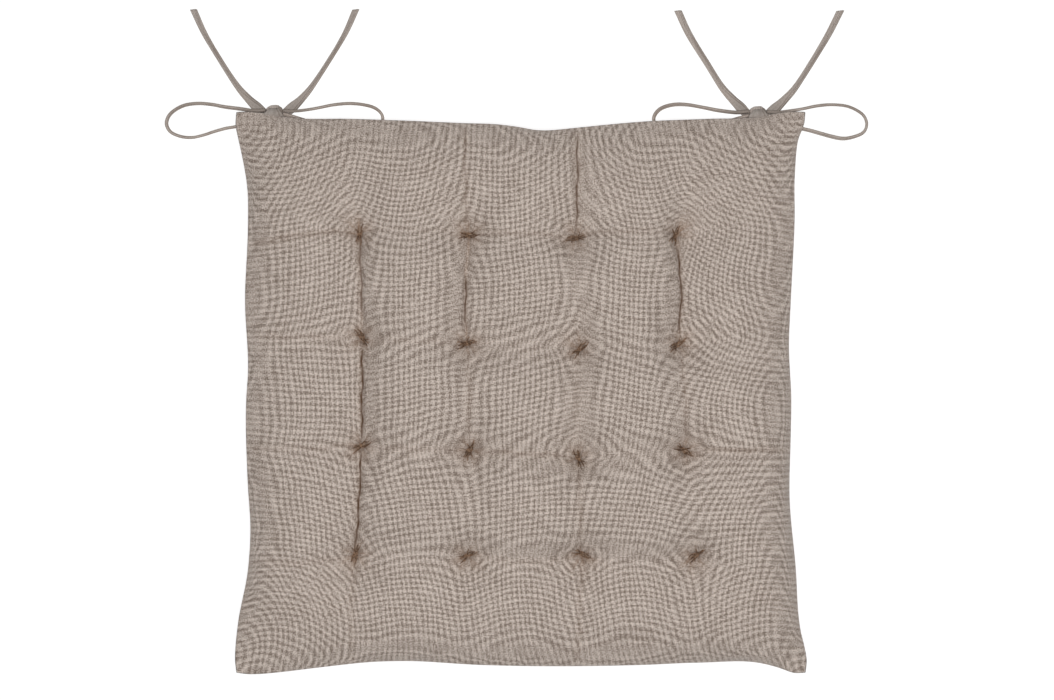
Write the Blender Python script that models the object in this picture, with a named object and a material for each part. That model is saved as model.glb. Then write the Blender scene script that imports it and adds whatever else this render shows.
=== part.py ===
"""A square tufted seat cushion with a tied bow at each of its two back corners.

Metres, +Z up, +Y towards the back edge that carries the ties. The origin is under the middle
of the pad, on the surface that the cushion lies on.

The cover is a top and a bottom panel sewn together along their four edges, round a filling.
Sixteen stitches of thick thread go through all three and pull the pad into cells. Each back
corner has tape ties caught in the seam, knotted into a bow that lies on the surface.
"""

import math

import bmesh
import bpy
from mathutils import Vector

# Pad, between the tips of its corners
WIDTH = 0.400
DEPTH = 0.394
THICKNESS = 0.050

# Outline: how far the filling pulls the middle of an edge towards the centre
SIDE_PULL_IN = 0.011
END_PULL_IN = 0.011
FLARE_POWER = 3.0

# Edge seam: its height above the surface, and how far its corners stay above the top of the ties
SEAM_HEIGHT = 0.021
CORNER_OVER_TAPE = 0.005

# Cells
BOTTOM_CROWN = 0.026
EDGE_POWER = 4.0
TUFTS_PER_SIDE = 4
TUFT_PITCH = 0.078
TUFT_PULL = 0.75
TUFT_REACH = 0.021
SEAT_HALF = 0.004

# Where each tuft was sewn, off its even place: x, y in metres, rows from back to front
TUFT_SHIFTS = (
    ((0.0000, -0.0017), (0.0013, -0.0013), (0.0007, -0.0033), (-0.0050, -0.0027)),
    ((0.0006, 0.0011), (-0.0011, -0.0027), (0.0041, -0.0067), (-0.0021, -0.0039)),
    ((0.0001, 0.0003), (0.0014, -0.0029), (0.0031, -0.0089), (0.0024, -0.0027)),
    ((-0.0030, 0.0001), (0.0003, -0.0023), (0.0052, -0.0013), (0.0095, -0.0009)),
)
SHIFT_REACH = 0.030

# Cloth and thread
FABRIC = 0.001
THREAD_RADIUS = 0.0008
STITCH_HALF_LENGTH = 0.0032
STITCH_THICKNESS = 0.0012
THREAD_CLEARANCE = 0.0004
FIT_GAP = 0.0003

# Mesh of the panels
SEAM_MARGIN = 0.006
OUTER_STEPS = 4
INNER_STEPS = 4
HOLE_SIDES = 8

# Ties: folded tape, tied in a bow
TAPE_WIDTH = 0.006
TAPE_THICKNESS = 0.002
TAPE_STEP = 0.006
TAPE_LIFT = 0.0001
KNOT_SIZE = (0.012, 0.0078, 0.0080)
KNOT_LIFT = 0.0002
KNOT_ROUNDING = 0.0022
KNOT_BEHIND_SEAM = 0.0044
LEFT_KNOT_FROM_TIP = 0.027
RIGHT_KNOT_FROM_TIP = 0.034
STRAND_PITCH = 0.0025
STANDING = 0.0
FLAT = math.pi / 2

# Routes of the tapes over the surface, from the knot's centre: x, y in metres, seen from above.
LEFT_OUTER_LOOP = (
    (-0.014, -0.0003), (-0.024, 0.0012), (-0.035, 0.0026), (-0.044, 0.0043), (-0.054, 0.0050),
    (-0.064, 0.0034), (-0.0725, -0.0018), (-0.0757, -0.0085), (-0.0731, -0.0146),
    (-0.066, -0.0180), (-0.058, -0.0188), (-0.050, -0.0172), (-0.042, -0.0146),
    (-0.034, -0.0124), (-0.027, -0.0112), (-0.019, -0.0088), (-0.012, -0.0052),
)
LEFT_INNER_LOOP = (
    (0.014, -0.0004), (0.023, 0.0006), (0.032, 0.0022), (0.041, 0.0040), (0.052, 0.0050),
    (0.062, 0.0042), (0.0705, 0.0018), (0.0755, -0.0030), (0.0752, -0.0086),
    (0.0690, -0.0120), (0.058, -0.0128), (0.047, -0.0120), (0.036, -0.0102),
    (0.025, -0.0078), (0.014, -0.0046),
)
LEFT_OUTER_TAIL = (
    (-0.0125, 0.0040), (-0.0200, 0.0092), (-0.0285, 0.0200), (-0.0380, 0.0342),
    (-0.0480, 0.0520), (-0.0570, 0.0710),
)
LEFT_INNER_TAIL = (
    (0.0125, 0.0042), (0.0195, 0.0094), (0.0270, 0.0186), (0.0372, 0.0345),
    (0.0490, 0.0520), (0.0570, 0.0710),
)
RIGHT_INNER_LOOP = (
    (-0.015, -0.0006), (-0.028, 0.0010), (-0.038, 0.0030), (-0.050, 0.0050), (-0.060, 0.0048),
    (-0.0685, 0.0018), (-0.0728, -0.0042), (-0.0705, -0.0100), (-0.0630, -0.0126),
    (-0.052, -0.0124), (-0.040, -0.0108), (-0.028, -0.0084), (-0.015, -0.0048),
)
RIGHT_OUTER_LOOP = (
    (0.014, -0.0003), (0.023, 0.0008), (0.032, 0.0022), (0.042, 0.0042), (0.053, 0.0050),
    (0.0640, 0.0036), (0.0735, -0.0016), (0.0766, -0.0082), (0.0745, -0.0142),
    (0.068, -0.0174), (0.060, -0.0188), (0.052, -0.0174), (0.044, -0.0152),
    (0.037, -0.0132), (0.031, -0.0118), (0.022, -0.0092), (0.013, -0.0052),
)
RIGHT_INNER_TAIL = (
    (-0.0125, 0.0040), (-0.0190, 0.0092), (-0.0265, 0.0205), (-0.0362, 0.0358),
    (-0.0470, 0.0540), (-0.0560, 0.0710),
)
RIGHT_OUTER_TAIL = (
    (0.0125, 0.0042), (0.0200, 0.0098), (0.0310, 0.0232), (0.0420, 0.0400),
    (0.0512, 0.0556), (0.0582, 0.0710),
)

# Colour, roughness
COVER_FINISH = ((0.400, 0.330, 0.280), 0.90)
FILLING_FINISH = ((0.850, 0.840, 0.800), 1.00)
THREAD_FINISH = ((0.100, 0.055, 0.030), 0.80)
TAPE_FINISH = ((0.390, 0.340, 0.300), 0.85)


def clear_scene():
    for old in list(bpy.data.objects):
        bpy.data.objects.remove(old)


def finish(name, colour, roughness):
    """A cloth-like material with one colour."""
    material = bpy.data.materials.new(name)
    material.use_nodes = True
    shader = material.node_tree.nodes["Principled BSDF"]
    shader.inputs["Base Color"].default_value = (*colour, 1.0)
    shader.inputs["Roughness"].default_value = roughness
    shader.inputs["Metallic"].default_value = 0.0
    return material


def add_object(name, data, material):
    made = bpy.data.objects.new(name, data)
    made.data.materials.append(material)
    bpy.context.scene.collection.objects.link(made)
    return made


# ---- the pad's form ------------------------------------------------------------------------

def tuft_row():
    """Where the tufts lie along one side of the flat panel, from its middle."""
    middle = (TUFTS_PER_SIDE - 1) / 2
    return [(i - middle) * TUFT_PITCH for i in range(TUFTS_PER_SIDE)]


def outline_scale(across, pull_in, half):
    """The share of its flat place that a point keeps when the filling pulls the pad in."""
    return 1.0 - pull_in / half * (1.0 - abs(across) ** FLARE_POWER)


def plan_point(flat_x, flat_y):
    """A point of the flat panel, where it lies on the filled pad seen from above."""
    u = flat_x / (WIDTH / 2)
    v = flat_y / (DEPTH / 2)
    x = flat_x * outline_scale(v, SIDE_PULL_IN, WIDTH / 2)
    y = flat_y * outline_scale(u, END_PULL_IN, DEPTH / 2)
    for row_y, shifts in zip(reversed(tuft_row()), TUFT_SHIFTS):
        for tuft_x, (shift_x, shift_y) in zip(tuft_row(), shifts):
            away = math.hypot(flat_x - tuft_x, flat_y - row_y)
            follow = math.exp(-((away / SHIFT_REACH) ** 2))
            x += follow * shift_x
            y += follow * shift_y
    return x, y


def seam_level(flat_x, flat_y):
    """The height of the plane between the two panels, which droops to the corners."""
    u = flat_x / (WIDTH / 2)
    v = flat_y / (DEPTH / 2)
    corner_droop = SEAM_HEIGHT - TAPE_WIDTH - CORNER_OVER_TAPE
    return SEAM_HEIGHT - corner_droop * (u * v) ** 2


def swell(flat_x, flat_y):
    """How far the cells swell there: 0 on the seam, about 1 in the middle of a cell."""
    u = abs(flat_x) / (WIDTH / 2)
    v = abs(flat_y) / (DEPTH / 2)
    rise = math.sqrt(max(0.0, 1.0 - u ** EDGE_POWER)) * math.sqrt(max(0.0, 1.0 - v ** EDGE_POWER))
    for tuft_x in tuft_row():
        for tuft_y in tuft_row():
            away = max(0.0, math.hypot(flat_x - tuft_x, flat_y - tuft_y) - SEAT_HALF)
            rise *= 1.0 - TUFT_PULL * math.exp(-((away / TUFT_REACH) ** 2))
    return rise


def top_inside(flat_x, flat_y):
    crown = THICKNESS - SEAM_HEIGHT - FABRIC - FIT_GAP / 2
    return seam_level(flat_x, flat_y) + FIT_GAP / 2 + crown * swell(flat_x, flat_y)


def top_outside(flat_x, flat_y):
    return top_inside(flat_x, flat_y) + FABRIC


def bottom_outside(flat_x, flat_y):
    """The bottom panel's outer face, pressed flat where it meets the surface."""
    edge = seam_level(flat_x, flat_y) - FIT_GAP / 2 - FABRIC
    return max(0.0, edge - BOTTOM_CROWN * swell(flat_x, flat_y))


def bottom_inside(flat_x, flat_y):
    return bottom_outside(flat_x, flat_y) + FABRIC


def filling_top(flat_x, flat_y):
    return top_inside(flat_x, flat_y) - FIT_GAP


def filling_bottom(flat_x, flat_y):
    return bottom_inside(flat_x, flat_y) + FIT_GAP


# ---- panels and filling --------------------------------------------------------------------

def panel_lines(half):
    """The mesh lines across a panel: its edges, a seat at each tuft, and even steps between."""
    stops = [SEAM_MARGIN - half]
    for tuft in tuft_row():
        stops += [tuft - SEAT_HALF, tuft + SEAT_HALF]
    stops.append(half - SEAM_MARGIN)
    counts = [OUTER_STEPS] + [1, INNER_STEPS] * (TUFTS_PER_SIDE - 1) + [1, OUTER_STEPS]
    lines = [-half]
    for start, end, count in zip(stops, stops[1:], counts):
        lines += [start + (end - start) * i / count for i in range(count)]
    return lines + [half - SEAM_MARGIN, half]


def split_quad(bm, a, b, c, d, rising):
    """Two triangles, cut along the diagonal that mirrors from one quarter to the next."""
    if rising:
        bm.faces.new((a, b, c))
        bm.faces.new((a, c, d))
    else:
        bm.faces.new((a, b, d))
        bm.faces.new((b, c, d))


def sheet_body(name, lines_x, lines_y, upper, lower, material):
    """One closed body between two height functions over the same flat lines."""
    bm = bmesh.new()
    layers = []
    for height in (upper, lower):
        layers.append([
            [bm.verts.new((*plan_point(x, y), height(x, y))) for x in lines_x] for y in lines_y
        ])
    top, bottom = layers
    for j in range(len(lines_y) - 1):
        for i in range(len(lines_x) - 1):
            middle_x = lines_x[i] + lines_x[i + 1]
            middle_y = lines_y[j] + lines_y[j + 1]
            rising = middle_x * middle_y > 0.0
            split_quad(bm, top[j][i], top[j][i + 1], top[j + 1][i + 1], top[j + 1][i], rising)
            split_quad(bm, bottom[j][i], bottom[j + 1][i], bottom[j + 1][i + 1],
                       bottom[j][i + 1], rising)
    last_x = len(lines_x) - 1
    last_y = len(lines_y) - 1
    rim = [(0, i) for i in range(last_x)]
    rim += [(j, last_x) for j in range(last_y)]
    rim += [(last_y, i) for i in range(last_x, 0, -1)]
    rim += [(j, 0) for j in range(last_y, 0, -1)]
    for (j, i), (next_j, next_i) in zip(rim, rim[1:] + rim[:1]):
        bm.faces.new((bottom[j][i], bottom[next_j][next_i], top[next_j][next_i], top[j][i]))
    mesh = bpy.data.meshes.new(name)
    bm.to_mesh(mesh)
    bm.free()
    return add_object(name, mesh, material)


def tuft_places():
    """(name, flat x, flat y) for each tuft, row 1 at the back and column 1 on the left."""
    row = tuft_row()
    return [
        (f"tuft_stitch_r{r + 1}_c{c + 1}", x, y)
        for r, y in enumerate(reversed(row)) for c, x in enumerate(row)
    ]


def make_hole_cutter():
    """One upright prism for each tuft stitch to pass through."""
    bm = bmesh.new()
    for _, flat_x, flat_y in tuft_places():
        x, y = plan_point(flat_x, flat_y)
        cone = bmesh.ops.create_cone(
            bm, cap_ends=True, segments=HOLE_SIDES, depth=2 * THICKNESS,
            radius1=THREAD_RADIUS + THREAD_CLEARANCE, radius2=THREAD_RADIUS + THREAD_CLEARANCE,
        )
        bmesh.ops.translate(bm, verts=cone["verts"], vec=(x, y, THICKNESS / 2))
    mesh = bpy.data.meshes.new("tuft_holes")
    bm.to_mesh(mesh)
    bm.free()
    cutter = bpy.data.objects.new("tuft_holes", mesh)
    cutter.hide_render = True
    cutter.display_type = "WIRE"
    bpy.context.scene.collection.objects.link(cutter)
    return cutter


def pierce(body, cutter):
    cut = body.modifiers.new("tuft_holes", "BOOLEAN")
    cut.operation = "DIFFERENCE"
    cut.solver = "EXACT"
    cut.object = cutter


def make_pad():
    cover = finish("cover", *COVER_FINISH)
    lines_x = panel_lines(WIDTH / 2)
    lines_y = panel_lines(DEPTH / 2)
    bodies = [
        sheet_body("cover_top", lines_x, lines_y, top_outside, top_inside, cover),
        sheet_body("cover_bottom", lines_x, lines_y, bottom_inside, bottom_outside, cover),
        sheet_body("filling", lines_x[1:-1], lines_y[1:-1], filling_top, filling_bottom,
                   finish("filling", *FILLING_FINISH)),
    ]
    cutter = make_hole_cutter()
    for body in bodies:
        pierce(body, cutter)


# ---- tuft stitches -------------------------------------------------------------------------

def seat_heights(flat_x, flat_y):
    """The lowest and highest heights that a stitch's two bars may lie at, clear of the cloth."""
    corners = [(flat_x + i * SEAT_HALF, flat_y + j * SEAT_HALF) for i in (-1, 1) for j in (-1, 1)]
    low = min(bottom_outside(x, y) for x, y in corners) - FIT_GAP
    high = max(top_outside(x, y) for x, y in corners) + FIT_GAP
    return low, high


def make_stitch(name, flat_x, flat_y, turn, material):
    """A thread shaft with a bar across each end, as one closed body."""
    low, high = seat_heights(flat_x, flat_y)
    bar = (STITCH_HALF_LENGTH, THREAD_RADIUS)
    shaft = (THREAD_RADIUS, THREAD_RADIUS)
    rings = (
        (low - STITCH_THICKNESS, bar), (low, bar), (low, shaft),
        (high, shaft), (high, bar), (high + STITCH_THICKNESS, bar),
    )
    bm = bmesh.new()
    loops = []
    for z, (along, across) in rings:
        ring = []
        for k in range(HOLE_SIDES):
            angle = 2 * math.pi * (k + 0.5) / HOLE_SIDES
            ring.append(bm.verts.new((along * math.cos(angle), across * math.sin(angle), z)))
        loops.append(ring)
    for below, above in zip(loops, loops[1:]):
        for k in range(HOLE_SIDES):
            after = (k + 1) % HOLE_SIDES
            bm.faces.new((below[k], below[after], above[after], above[k]))
    bm.faces.new(list(reversed(loops[0])))
    bm.faces.new(loops[-1])
    mesh = bpy.data.meshes.new(name)
    bm.to_mesh(mesh)
    bm.free()
    stitch = add_object(name, mesh, material)
    x, y = plan_point(flat_x, flat_y)
    stitch.location = (x, y, 0.0)
    stitch.rotation_euler = (0.0, 0.0, turn)


def make_stitches():
    thread = finish("thread", *THREAD_FINISH)
    for index, (name, flat_x, flat_y) in enumerate(tuft_places()):
        make_stitch(name, flat_x, flat_y, math.radians(35 + 50 * (index % 3)), thread)


# ---- ties ----------------------------------------------------------------------------------

def catmull_rom(before, start, end, after, t):
    """A point on the smooth curve between start and end."""
    return 0.5 * (
        2 * start + (end - before) * t
        + (2 * before - 5 * start + 4 * end - after) * t ** 2
        + (3 * (start - end) + after - before) * t ** 3
    )


def smooth_points(route, step):
    """Points about one step apart along the smooth curve through a route's own points."""
    fine = []
    pieces = 24
    padded = [2 * route[0] - route[1]] + route + [2 * route[-1] - route[-2]]
    for before, start, end, after in zip(padded, padded[1:], padded[2:], padded[3:]):
        fine += [catmull_rom(before, start, end, after, i / pieces) for i in range(pieces)]
    fine.append(route[-1])
    travelled = [0.0]
    for a, b in zip(fine, fine[1:]):
        travelled.append(travelled[-1] + (b - a).length)
    count = max(2, round(travelled[-1] / step))
    points = []
    place = 0
    for k in range(count + 1):
        target = travelled[-1] * k / count
        while place < len(fine) - 2 and travelled[place + 1] < target:
            place += 1
        share = (target - travelled[place]) / (travelled[place + 1] - travelled[place])
        points.append(fine[place].lerp(fine[place + 1], min(1.0, share)))
    return points


def make_tape(name, points, tilts, material):
    """A flat tape with rounded edges along the points, closed at both ends."""
    curve = bpy.data.curves.new(name, "CURVE")
    curve.dimensions = "3D"
    curve.twist_mode = "Z_UP"
    curve.extrude = (TAPE_WIDTH - TAPE_THICKNESS) / 2
    curve.bevel_depth = TAPE_THICKNESS / 2
    curve.bevel_resolution = 0
    curve.use_fill_caps = True
    spline = curve.splines.new("POLY")
    spline.points.add(len(points) - 1)
    for spline_point, place, tilt in zip(spline.points, points, tilts):
        spline_point.co = (*place, 1.0)
        spline_point.tilt = tilt
    return add_object(name, curve, material)


def resting_height(tilt):
    """The height of a tape's centre line when it lies on the surface, turned by tilt."""
    upright_half = (TAPE_WIDTH - TAPE_THICKNESS) / 2 * abs(math.cos(tilt))
    return TAPE_LIFT + upright_half + TAPE_THICKNESS / 2


def lay_tape(name, knot, route, end_tilt, material):
    """A tape that starts standing on its edge and has turned to end_tilt at its far end."""
    flat_route = [Vector((knot.x + x, knot.y + y, 0.0)) for x, y in route]
    points = smooth_points(flat_route, TAPE_STEP)
    tilts = [end_tilt * min(1.0, 2.0 * i / (len(points) - 1)) for i in range(len(points))]
    for point, tilt in zip(points, tilts):
        point.z = resting_height(tilt)
    make_tape(name, points, tilts, material)


def make_knot(name, centre, material):
    mesh = bpy.data.meshes.new(name)
    bm = bmesh.new()
    bmesh.ops.create_cube(bm, size=1.0)
    bmesh.ops.scale(bm, vec=KNOT_SIZE, verts=bm.verts)
    bm.to_mesh(mesh)
    bm.free()
    knot = add_object(name, mesh, material)
    knot.location = centre
    rounding = knot.modifiers.new("rounding", "BEVEL")
    rounding.width = KNOT_ROUNDING
    rounding.segments = 2


def make_anchor(name, knot, material):
    """The folded middle of the tape, from the seam that holds it down into the knot."""
    far_x = abs(knot.x) + TAPE_WIDTH / 2
    seam_y = edge_behind(far_x) + FIT_GAP
    seam_z = seam_level(abs(knot.x), DEPTH / 2)
    knot_top = knot.z + KNOT_SIZE[2] / 2 + FIT_GAP
    reach = knot.y - seam_y
    drop = seam_z - knot_top
    points = [
        Vector((knot.x, seam_y, seam_z)),
        Vector((knot.x, seam_y + 0.35 * reach, seam_z)),
        Vector((knot.x, seam_y + 0.75 * reach, seam_z - 0.25 * drop)),
        Vector((knot.x, knot.y, knot_top + 0.35 * drop)),
        Vector((knot.x, knot.y, knot_top)),
    ]
    make_tape(name, points, [FLAT] * len(points), material)


def edge_behind(x):
    """The back edge's y at x, found on the outline."""
    flat_x = x
    for _ in range(8):
        flat_x += x - plan_point(flat_x, DEPTH / 2)[0]
    return plan_point(flat_x, DEPTH / 2)[1]


def make_bow(side, knot_x, strands, material):
    """One knot, the folded tape it hangs from, two loops and two tails."""
    knot = Vector((
        knot_x,
        edge_behind(abs(knot_x)) + KNOT_BEHIND_SEAM,
        KNOT_LIFT + KNOT_SIZE[2] / 2,
    ))
    make_knot(f"bow_knot_{side}", knot, material)
    make_anchor(f"tie_anchor_{side}", knot, material)
    reach = KNOT_SIZE[0] / 2 + FIT_GAP
    for place, loop, tail, way in strands:
        start = (way * reach, 0.0)
        back = (way * reach, -STRAND_PITCH)
        tail_start = (way * reach, STRAND_PITCH)
        lay_tape(f"bow_loop_{side}_{place}", knot, (start, *loop, back), STANDING, material)
        lay_tape(f"bow_tail_{side}_{place}", knot, (tail_start, *tail), FLAT, material)


def make_ties():
    tape = finish("tape", *TAPE_FINISH)
    make_bow("left", LEFT_KNOT_FROM_TIP - WIDTH / 2, (
        ("outer", LEFT_OUTER_LOOP, LEFT_OUTER_TAIL, -1),
        ("inner", LEFT_INNER_LOOP, LEFT_INNER_TAIL, 1),
    ), tape)
    make_bow("right", WIDTH / 2 - RIGHT_KNOT_FROM_TIP, (
        ("inner", RIGHT_INNER_LOOP, RIGHT_INNER_TAIL, -1),
        ("outer", RIGHT_OUTER_LOOP, RIGHT_OUTER_TAIL, 1),
    ), tape)


clear_scene()
make_pad()
make_stitches()
make_ties()
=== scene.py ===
"""A square tufted seat cushion with tied bows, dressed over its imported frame.

Metres, +Z up, +Y towards the back edge with the ties. The cover is two flat panels, joined at
the seam, that a cloth simulation blows up round the tufts. Its weave follows each point's
place on the flat panel, so it bends and crowds as the cloth does.
"""

import math

import bmesh
import bpy
import numpy as np
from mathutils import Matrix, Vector, noise
from mathutils.bvhtree import BVHTree


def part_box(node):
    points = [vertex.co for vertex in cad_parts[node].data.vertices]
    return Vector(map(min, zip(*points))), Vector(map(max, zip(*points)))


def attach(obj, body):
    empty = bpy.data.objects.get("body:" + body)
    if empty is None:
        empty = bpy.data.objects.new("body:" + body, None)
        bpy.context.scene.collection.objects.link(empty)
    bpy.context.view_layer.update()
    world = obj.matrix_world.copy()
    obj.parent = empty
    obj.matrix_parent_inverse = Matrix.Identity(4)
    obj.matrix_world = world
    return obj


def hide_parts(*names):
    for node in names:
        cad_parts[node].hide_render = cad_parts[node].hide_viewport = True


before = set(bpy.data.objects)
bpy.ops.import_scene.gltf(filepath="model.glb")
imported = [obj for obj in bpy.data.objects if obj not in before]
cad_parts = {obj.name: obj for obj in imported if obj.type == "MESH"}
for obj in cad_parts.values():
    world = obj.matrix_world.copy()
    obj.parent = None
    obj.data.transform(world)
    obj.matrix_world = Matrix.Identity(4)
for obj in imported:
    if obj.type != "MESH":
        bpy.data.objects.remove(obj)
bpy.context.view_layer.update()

# ---- sizes ----

# Flat panels, seam to seam
PANEL_HALF_X = 0.2055
PANEL_HALF_Y = 0.2025
FLAT_PITCH = 0.080
CORNER_RADIUS = 0.0036

# Filled pad. Valleys of HELD_DEPTH or more are held down along HELD_PART of their length.
TUFT_ROWS = 4
TOP_TUFT_CLOTH = 0.0265
BOTTOM_TUFT_CLOTH = 0.0150
FLOOR_CLEARANCE = 0.0002
VALLEY_RISE = 0.0165
VALLEY_SINK = 0.0048
HELD_DEPTH = 0.55
HELD_PART = (0.08, 0.92)
CALM_INSET = 0.0100
TUFT_DRAW = 0.032
FIRST_RISE = 0.020
FIRST_DIMPLE_DEPTH = 0.7
FIRST_DIMPLE_REACH = 0.018

# Simulation: (steps across a cell, number of steps in time) of each round, then the cloth
SIM_ROUNDS = (((8, 600), (16, 320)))
PUSH = 0.0030
DRAG = 0.94
SQUEEZE = 0.08
SHEAR_SHARE = 0.15
STIFFNESS = 0.02

# Mesh of the cover: TUFT_STEPS even steps out to TUFT_ZONE from each tuft, OPEN_STEP elsewhere
TUFT_ZONE = 0.0088
TUFT_STEPS = 8
OPEN_STEP = 0.0028
SEAM_LINES = (0.0010, 0.0022, 0.0036)

# Slack of the cloth between its tufts, which dies away within SLACK_EDGE of the seam
SLACK_LIFT = 0.0006
SLACK_SCALES = (42.0, 105.0)
SLACK_EDGE = 0.012

# Puckers and pinch at a tuft, and the painted shade on the cloth round it
PUCKER_HEIGHT = 0.0006
PUCKER_START = (0.0008, 0.0040)
PUCKER_REACH = 0.0105
PINCH_DEPTH = 0.0016
PINCH_LENGTH = 0.0066
PINCH_WIDTH = 0.0019
HALO_REACH = 0.0090

# Grooves along the valleys: depth of the faintest, how much deeper the strongest are
GROOVE_DEPTH = 0.0003
GROOVE_DEEPER = 0.0010
GROOVE_WIDTH = 0.0009
# Half width of the painted shade line in a groove, and width of the painted shade beside it
GROOVE_HALF = 0.00078
CREASE_SHADE_WIDTH = 0.0024

# Gathers along the seam
GATHER_HEIGHT = 0.00022
GATHER_REACH = 0.007

# Weave. The cloth's coarse lines are the beat between its threads and an even spacing in plan.
# They show from BEAT_SHOWS lines in a metre, fade over BEAT_FADES, and fade round the knots.
THREAD_SPACING = 0.00087
WEAVE_BEAT = 0.000699
BEAT_SHOWS = (25.0, 160.0)
BEAT_FADES = (280.0, 560.0)
KNOT_GATHER = (0.026, 0.013)
DRIFT_SCALES = (95.0, 24.0)
SLUB_SCALES = (820.0, 130.0)
SLUB_STRENGTH = 2.8
SPECKLE_SCALE = 1000.0
SPECKLE_STRENGTH = 2.2
PATCH_SCALE = 55.0
PATCH_STRENGTH = 0.3
MEAN_TONE = 0.48
BUNCH_SHARE = 0.215
BUMP_DEPTH = 0.00012

DARK_THREADS = (0.205, 0.158, 0.128, 1.0)
LIGHT_THREADS = (0.640, 0.555, 0.495, 1.0)
# Colour of the painted shade round the tufts and beside the valley grooves
TUFT_PAINTED_SHADE = (0.270, 0.172, 0.110, 1.0)
# Colour of the painted shade line in the valley grooves
VALLEY_PAINTED_SHADE = (0.085, 0.046, 0.026, 1.0)

# Camera, and the floor, sky and lamp of the studio
VIEW_CENTRE = (0.0042, 0.0296)
VIEW_WIDTH = 0.737
VIEW_HEIGHT = 2.2
SENSOR = 0.036
FLOOR_RADIUS = 6.0
FLOOR_PAPER = (0.42, 0.42, 0.42, 1.0)
WHITE = (1.0, 1.0, 1.0, 1.0)
FLOOR_GLOW = 0.66
SKY_STRENGTH = 0.12
LAMP_PLACE = (0.05, -0.05, 2.7)
LAMP_SIZE = 0.7
LAMP_ENERGY = 62.0

# Threads of a tuft: turn from the tuft's own slant, half length, sideways place, height on cloth
THREAD_RADIUS = 0.00046
THREAD_SIDES = 8
THREAD_TAPER = 0.6
TUFT_THREADS = (
    (0.00, 0.0062, 0.0012, 0.0001), (0.14, 0.0074, -0.0011, 0.0002),
    (-0.22, 0.0055, 0.0001, 0.0003), (0.50, 0.0044, 0.0004, 0.0007),
    (-0.60, 0.0034, -0.0004, 0.0008),
)
THREAD_DARK = (0.050, 0.024, 0.012, 1.0)
THREAD_LIGHT = (0.290, 0.180, 0.110, 1.0)

# Ties
TAPE_WIDTH = 0.006
TAPE_THICKNESS = 0.002
TAPE_STEP = 0.0015
TAPE_LIFT = 0.0003
STRAND_PITCH = 0.0025
OVER_TAIL = 0.0020
OVER_TAIL_REACH = 0.016
TAIL_START = (0.0048, -0.0038)
CUT_PARTS = (1.0, 0.75, 0.5, 0.3, 0.12)

# How far a tape leans over from standing on its edge, in radians: a tail leaves its knot flat,
# stands up within FLAT_REACH, and leans over more towards its end
LOOP_LEAN = 0.06
LOOP_SWAY = 0.16
TAIL_LEAN = 0.42
TAIL_END_LEAN = 0.22
TAIL_SWAY = 0.08
FLAT_REACH = 0.0205

# A tail is a little wider where it comes out of the knot
KNOT_FLARE = 0.20
FLARE_PLACE = 0.0095
FLARE_REACH = 0.0050

# Knots: points of the mesh, where the strap round the middle ends, its place in the tape's pattern
KNOT_RINGS = 33
KNOT_SIDES = 48
KNOT_STRAP = (0.62, 0.50)
KNOT_CLOTH = 0.030
FOLD_WIDTHS = (2.4, 2.1, 1.5, 1.1, 0.9)

TAPE_DARK = (0.350, 0.296, 0.262, 1.0)
TAPE_LIGHT = (0.620, 0.552, 0.502, 1.0)
# Colour of the painted shade on a tape near its knot
TAPE_SHADE = (0.200, 0.180, 0.162, 1.0)
# Colour of the painted shade along a tape's sewn line and open edge
HEM_PAINTED_SHADE = (0.150, 0.115, 0.092, 1.0)
HEM_PLACE = 0.62
STREAK_SCALES = (900.0, 60.0)
STREAK_STRENGTH = 1.4

# Routes of the tapes over the surface, from the knot's centre: x, y in metres, seen from above.
LEFT_OUTER_LOOP = (
    (-0.014, -0.0003), (-0.024, 0.0012), (-0.035, 0.0026), (-0.044, 0.0043), (-0.054, 0.0050),
    (-0.064, 0.0034), (-0.0725, -0.0018), (-0.0757, -0.0085), (-0.0731, -0.0146),
    (-0.066, -0.0180), (-0.058, -0.0188), (-0.050, -0.0172), (-0.042, -0.0146),
    (-0.034, -0.0124), (-0.027, -0.0112), (-0.019, -0.0088), (-0.012, -0.0052),
)
LEFT_INNER_LOOP = (
    (0.014, -0.0004), (0.023, 0.0006), (0.032, 0.0022), (0.041, 0.0040), (0.052, 0.0050),
    (0.062, 0.0042), (0.0705, 0.0018), (0.0755, -0.0030), (0.0752, -0.0086),
    (0.0690, -0.0120), (0.058, -0.0128), (0.047, -0.0120), (0.036, -0.0102),
    (0.025, -0.0078), (0.014, -0.0046),
)
LEFT_OUTER_TAIL = (
    (-0.0126, 0.0027), (-0.0185, 0.0083), (-0.0259, 0.0168), (-0.0360, 0.0320),
    (-0.0486, 0.0530), (-0.0570, 0.0710),
)
LEFT_INNER_TAIL = (
    (0.0126, 0.0027), (0.0187, 0.0083), (0.0260, 0.0168), (0.0362, 0.0320),
    (0.0489, 0.0530), (0.0570, 0.0710),
)
RIGHT_INNER_LOOP = (
    (-0.015, -0.0006), (-0.028, 0.0010), (-0.038, 0.0030), (-0.050, 0.0050), (-0.060, 0.0048),
    (-0.0685, 0.0018), (-0.0728, -0.0042), (-0.0705, -0.0100), (-0.0630, -0.0126),
    (-0.052, -0.0124), (-0.040, -0.0108), (-0.028, -0.0084), (-0.015, -0.0048),
)
RIGHT_OUTER_LOOP = (
    (0.014, -0.0003), (0.023, 0.0008), (0.032, 0.0022), (0.042, 0.0042), (0.053, 0.0050),
    (0.0640, 0.0036), (0.0735, -0.0016), (0.0766, -0.0082), (0.0745, -0.0142),
    (0.068, -0.0174), (0.060, -0.0188), (0.052, -0.0174), (0.044, -0.0152),
    (0.037, -0.0132), (0.031, -0.0118), (0.022, -0.0092), (0.013, -0.0052),
)
RIGHT_INNER_TAIL = (
    (-0.0119, 0.0033), (-0.0178, 0.0090), (-0.0252, 0.0174), (-0.0349, 0.0328),
    (-0.0479, 0.0538), (-0.0560, 0.0710),
)
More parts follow.
